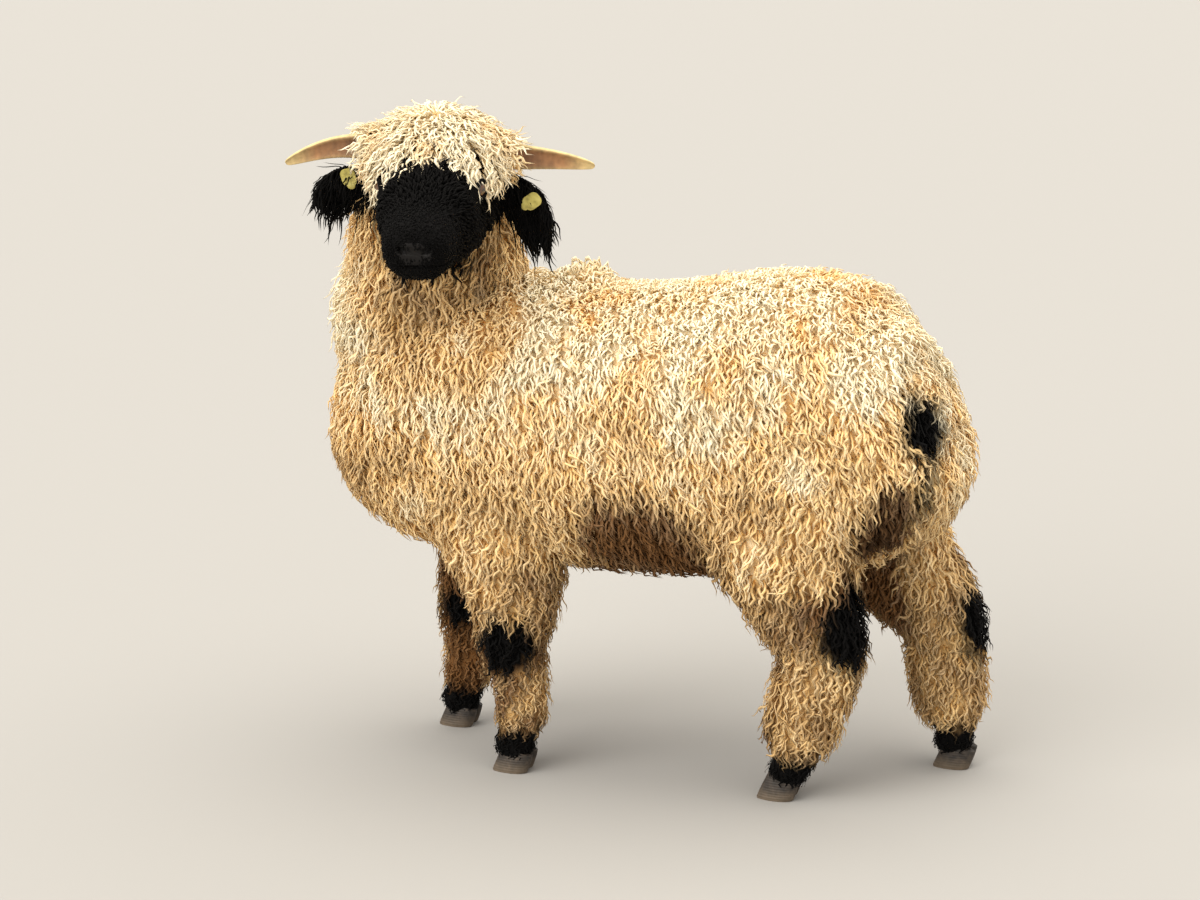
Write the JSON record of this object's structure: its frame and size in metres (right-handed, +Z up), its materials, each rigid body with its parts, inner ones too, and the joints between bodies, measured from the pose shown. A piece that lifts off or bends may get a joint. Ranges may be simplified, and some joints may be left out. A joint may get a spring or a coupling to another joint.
{
  "type": "valais blacknose sheep",
  "caption": "Life-size still model of a horned valais blacknose ewe, standing square with its head turned left: cream curly fleece, black face, ears, knees and hocks.",
  "frame": {"origin": "on the floor, under the middle of the whole model's box", "axes": "+Z up; the sheep heads along -X, its left side faces -Y, and its head is turned to look along -Y"},
  "size_m": [1.059, 0.6162, 1.0487],
  "materials": {
    "fleece": "cream curly wool, matte",
    "black_wool": "black curly face and ear wool, matte",
    "horn": "ringed horn, pale at its edges, brown in its hollow",
    "eye": "dark brown, glossy",
    "hoof": "dark horn of the claws, dull",
    "ear_tag": "bare yellow-olive moulded plastic"
  },
  "bodies": {
    "root": {"claw_fore_left_inner": "hoof", "claw_fore_left_outer": "hoof", "claw_fore_right_inner": "hoof", "claw_fore_right_outer": "hoof", "claw_hind_left_inner": "hoof", "claw_hind_left_outer": "hoof", "claw_hind_right_inner": "hoof", "claw_hind_right_outer": "hoof", "ear_left": "black_wool", "ear_right": "black_wool", "ear_tag_left": "ear_tag", "ear_tag_right": "ear_tag", "eye_left": "eye", "eye_right": "eye", "head": "black_wool", "horn_left": "horn", "horn_right": "horn", "leg_fore_left": "fleece", "leg_fore_right": "fleece", "leg_hind_left": "fleece", "leg_hind_right": "fleece", "neck": "fleece", "tail": "fleece", "torso": "fleece"}
  },
  "joints": []
}
